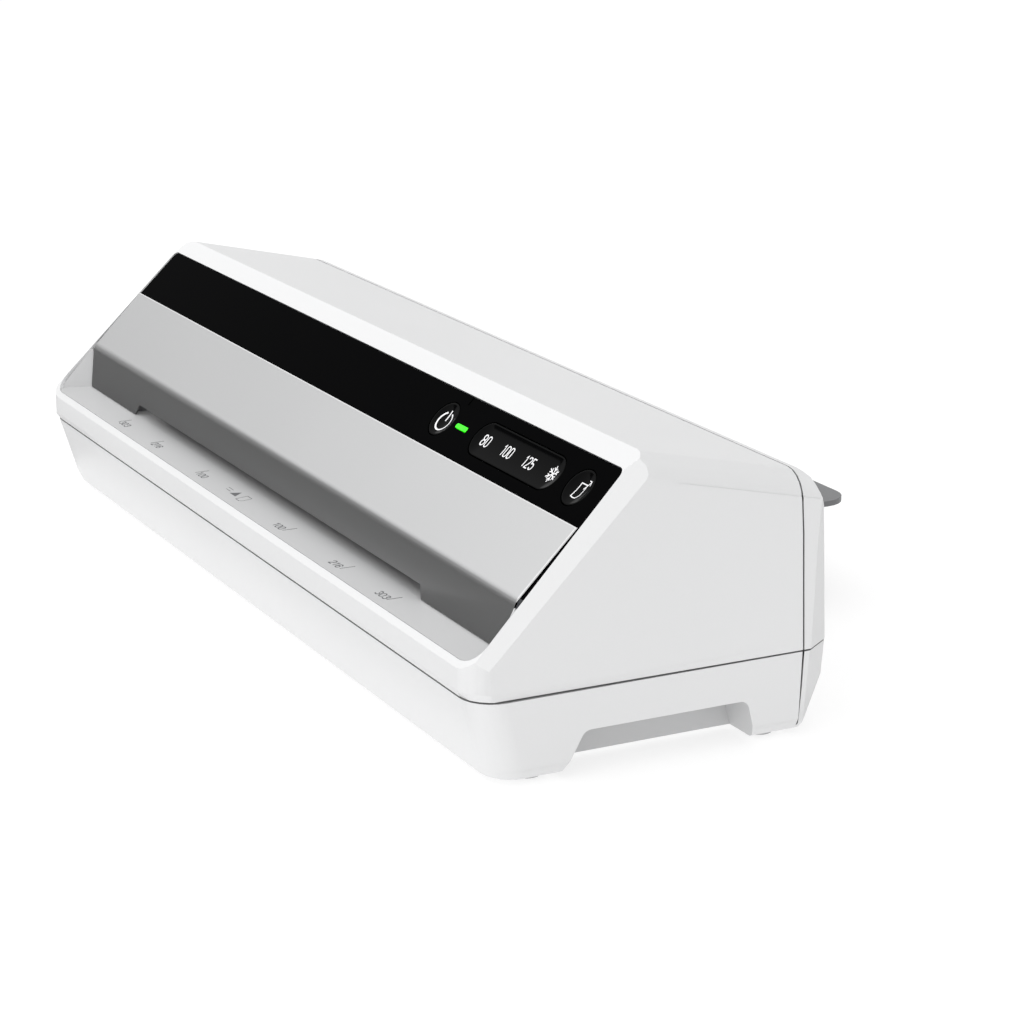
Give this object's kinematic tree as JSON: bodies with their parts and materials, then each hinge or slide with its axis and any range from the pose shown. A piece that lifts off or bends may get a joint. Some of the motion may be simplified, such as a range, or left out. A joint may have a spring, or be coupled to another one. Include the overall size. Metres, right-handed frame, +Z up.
{
  "type": "pouch laminator",
  "caption": "Desktop pouch laminator with a sloping control panel, wide entry slot with size marks, two heated and two exit rollers, and a fold-up exit tray.",
  "frame": {"origin": "bottom centre of the part's box, on the surface the feet stand on", "axes": "+X to the user's right, along the slot; +Y from the entry slot to the exit tray; +Z up"},
  "size_m": [0.4768, 0.248, 0.1177],
  "materials": {
    "white_housing": "satin moulded, fine texture",
    "white_shelf": "satin moulded",
    "silver_plastic": "silver lacquer, satin",
    "black_gloss": "piano black",
    "green_light": "clear green light pipe, lit",
    "grey_tray": "satin moulded",
    "black_plastic": "moulded",
    "foot_rubber": "matte",
    "zinc_steel": "zinc plated sheet",
    "turned_steel": "turned",
    "screw_steel": "zinc plated",
    "spring_steel": "drawn wire",
    "silicone": "ground matte",
    "gear_plastic": "moulded",
    "pinion_brass": "machined",
    "bush_plastic": "moulded",
    "motor_can": "pressed steel can",
    "heater_aluminium": "extruded",
    "heating_film": "insulating film over a resistance strip",
    "ceramic_part": "ceramic and phenolic",
    "circuit_board": "solder mask",
    "clear_led": "clear",
    "component_blue": "coated",
    "cable_grey": "flat ribbon insulation"
  },
  "bodies": {
    "housing": {"upper_housing": "white_housing", "lower_housing": "white_housing", "rear_upper_cover": "white_housing", "rear_lower_cover": "white_housing", "entry_shelf": "white_shelf", "silver_fascia": "silver_plastic", "control_panel": "black_gloss", "status_light": "green_light", "entry_guide": "black_plastic", "centre_guides": "black_plastic", "exit_guide": "black_plastic", "power_inlet": "black_plastic", "key_switches": "black_plastic", "transformer": "black_plastic", "rubber_feet": "foot_rubber", "left_side_frame": "zinc_steel", "right_side_frame": "zinc_steel", "motor_bracket": "zinc_steel", "heat_shield": "zinc_steel", "tie_bars": "turned_steel", "idler_stud": "turned_steel", "base_screws": "screw_steel", "rear_screws": "screw_steel", "frame_screws": "screw_steel", "motor_screws": "screw_steel", "hot_springs": "spring_steel", "exit_springs": "spring_steel", "lower_roller_bushes": "bush_plastic", "drive_motor": "motor_can", "upper_heater_shell": "heater_aluminium", "lower_heater_shell": "heater_aluminium", "upper_heating_element": "heating_film", "lower_heating_element": "heating_film", "thermal_cutout": "ceramic_part", "temperature_sensor": "ceramic_part", "control_board": "circuit_board", "power_board": "circuit_board", "indicator_leds": "clear_led", "power_components": "component_blue", "ribbon_cable": "cable_grey"},
    "lower_hot_roller": {"lower_hot_shaft": "turned_steel", "lower_hot_sleeve": "silicone", "lower_hot_gear": "gear_plastic"},
    "upper_hot_carrier": {"upper_hot_bushes": "bush_plastic"},
    "upper_hot_roller": {"upper_hot_shaft": "turned_steel", "upper_hot_sleeve": "silicone", "upper_hot_gear": "gear_plastic"},
    "lower_exit_roller": {"lower_exit_shaft": "turned_steel", "lower_exit_sleeve": "silicone", "lower_exit_gear": "gear_plastic"},
    "upper_exit_carrier": {"upper_exit_bushes": "bush_plastic"},
    "upper_exit_roller": {"upper_exit_shaft": "turned_steel", "upper_exit_sleeve": "silicone", "upper_exit_gear": "gear_plastic"},
    "idler": {"idler_gear": "gear_plastic"},
    "pinion": {"motor_pinion": "pinion_brass"},
    "power_key": {"power_button": "black_gloss"},
    "mode_key": {"mode_button": "black_gloss"},
    "release_key": {"release_button": "black_gloss"},
    "tray": {"exit_tray": "grey_tray"}
  },
  "joints": [
    {"name": "lower_hot_roller_spin", "type": "hinge", "parent": "housing", "child": "lower_hot_roller", "pos_m": [0, -0.062, 0.039], "axis": [1, 0, 0], "continuous": true},
    {"name": "upper_hot_float", "type": "slide", "parent": "housing", "child": "upper_hot_carrier", "axis": [0, 0, 1], "range_m": [0, 0.0008], "stiffness_N_per_m": 8000, "springref_m": -0.002, "deforming": ["hot_springs"]},
    {"name": "upper_hot_roller_spin", "type": "hinge", "parent": "upper_hot_carrier", "child": "upper_hot_roller", "pos_m": [0, -0.062, 0.061], "axis": [1, 0, 0], "continuous": true},
    {"name": "lower_exit_roller_spin", "type": "hinge", "parent": "housing", "child": "lower_exit_roller", "pos_m": [0, -0.018, 0.039], "axis": [1, 0, 0], "continuous": true},
    {"name": "upper_exit_float", "type": "slide", "parent": "housing", "child": "upper_exit_carrier", "axis": [0, 0, 1], "range_m": [0, 0.0008], "stiffness_N_per_m": 8000, "springref_m": -0.002, "deforming": ["exit_springs"]},
    {"name": "upper_exit_roller_spin", "type": "hinge", "parent": "upper_exit_carrier", "child": "upper_exit_roller", "pos_m": [0, -0.018, 0.061], "axis": [1, 0, 0], "continuous": true},
    {"name": "idler_spin", "type": "hinge", "parent": "housing", "child": "idler", "pos_m": [0, -0.04, 0.039], "axis": [1, 0, 0], "continuous": true},
    {"name": "pinion_spin", "type": "hinge", "parent": "housing", "child": "pinion", "pos_m": [0, -0.04, 0.021], "axis": [1, 0, 0], "continuous": true},
    {"name": "power_press", "type": "slide", "parent": "housing", "child": "power_key", "axis": [0, 0.7046, -0.7096], "range_m": [0, 0.0008], "stiffness_N_per_m": 400, "springref_m": -0.0006},
    {"name": "mode_press", "type": "slide", "parent": "housing", "child": "mode_key", "axis": [0, 0.7046, -0.7096], "range_m": [0, 0.0008], "stiffness_N_per_m": 400, "springref_m": -0.0006},
    {"name": "release_press", "type": "slide", "parent": "housing", "child": "release_key", "axis": [0, 0.7046, -0.7096], "range_m": [0, 0.0008], "stiffness_N_per_m": 400, "springref_m": -0.0006},
    {"name": "exit_tray_fold", "type": "hinge", "parent": "housing", "child": "tray", "pos_m": [0, 0.0336, 0.0439], "axis": [1, 0, 0], "range_deg": [0, 94]}
  ],
  "couplings": [
    {"joint": "upper_hot_roller_spin", "follows": "lower_hot_roller_spin", "ratio": -1},
    {"joint": "idler_spin", "follows": "lower_hot_roller_spin", "ratio": -1},
    {"joint": "lower_exit_roller_spin", "follows": "lower_hot_roller_spin", "ratio": 1},
    {"joint": "upper_exit_roller_spin", "follows": "lower_hot_roller_spin", "ratio": -1},
    {"joint": "pinion_spin", "follows": "lower_hot_roller_spin", "ratio": 1.5714}
  ]
}
